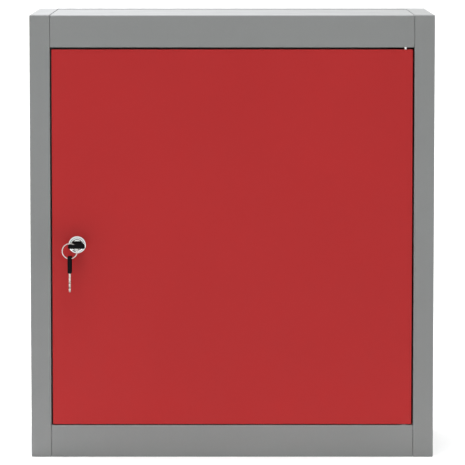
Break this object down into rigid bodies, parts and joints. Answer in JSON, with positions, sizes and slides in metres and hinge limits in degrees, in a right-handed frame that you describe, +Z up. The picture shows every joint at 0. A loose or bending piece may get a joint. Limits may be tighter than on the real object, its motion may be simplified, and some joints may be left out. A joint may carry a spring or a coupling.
{
  "type": "steel tool cabinet",
  "caption": "Folded steel tool cabinet with one flush hinged door, a key-operated cam lock with keys on a ring, and adjustable shelves inside.",
  "frame": {"origin": "middle of the base, on the surface that the cabinet stands on", "axes": "+Z up, +X to the right seen from the front, +Y from the front towards the back"},
  "size_m": [0.5, 0.2727, 0.55],
  "materials": {
    "grey_paint": "satin powder coat, light grey",
    "seam_welds": "flush plug welds under the same grey coat",
    "red_paint": "satin powder coat, signal red",
    "shelf_grey": "satin powder coat, light grey",
    "zinc_steel": "bright zinc plate",
    "bright_pin": "bright turned steel",
    "lock_chrome": "satin chrome plate",
    "lock_nickel": "satin nickel plate",
    "key_nickel": "satin nickel plate",
    "ring_steel": "bright spring steel",
    "key_black": "black moulded plastic",
    "buffer_rubber": "black rubber",
    "bush_nylon": "natural nylon"
  },
  "bodies": {
    "cabinet": {"left_side_panel": "grey_paint", "right_side_panel": "grey_paint", "top_panel": "grey_paint", "bottom_panel": "grey_paint", "back_panel": "grey_paint", "top_welds": "seam_welds", "door_buffers": "buffer_rubber", "front_left_upright": "zinc_steel", "rear_left_upright": "zinc_steel", "front_right_upright": "zinc_steel", "rear_right_upright": "zinc_steel", "lower_shelf": "shelf_grey", "upper_shelf": "shelf_grey", "shelf_clips": "zinc_steel", "upper_pivot_bush": "bush_nylon", "lower_pivot_bush": "bush_nylon", "lower_hinge_washer": "zinc_steel"},
    "door": {"door_panel": "red_paint", "door_stiffener": "red_paint", "upper_hinge_block": "zinc_steel", "lower_hinge_block": "zinc_steel", "upper_hinge_pin": "bright_pin", "lower_hinge_pin": "bright_pin", "lock_body": "lock_chrome", "lock_nut": "zinc_steel"},
    "lock_plug": {"lock_plug": "lock_nickel", "lock_cam": "zinc_steel", "cam_screw": "zinc_steel"},
    "key": {"key_blade": "key_nickel", "key_head": "key_black"},
    "key_ring": {"key_ring": "ring_steel"},
    "spare_key": {"spare_key_blade": "key_nickel", "spare_key_head": "key_black"}
  },
  "joints": [
    {"name": "door_swing", "type": "hinge", "parent": "cabinet", "child": "door", "pos_m": [0.214, -0.115, 0.275], "axis": [0, 0, 1], "range_deg": [0, 115]},
    {"name": "lock_turn", "type": "hinge", "parent": "door", "child": "lock_plug", "pos_m": [-0.192, -0.12, 0.2655], "axis": [0, 1, 0], "range_deg": [0, 90]},
    {"name": "key_slide", "type": "slide", "parent": "lock_plug", "child": "key", "axis": [0, -1, 0], "range_m": [0, 0.03]},
    {"name": "ring_swing", "type": "hinge", "parent": "key", "child": "key_ring", "pos_m": [-0.20028, -0.1422, 0.26905], "axis": [-1, 0, 0], "range_deg": [-8, 15]},
    {"name": "spare_key_swing", "type": "hinge", "parent": "key_ring", "child": "spare_key", "pos_m": [-0.20028, -0.1422, 0.25045], "axis": [-1, 0, 0], "range_deg": [-8, 35]}
  ]
}
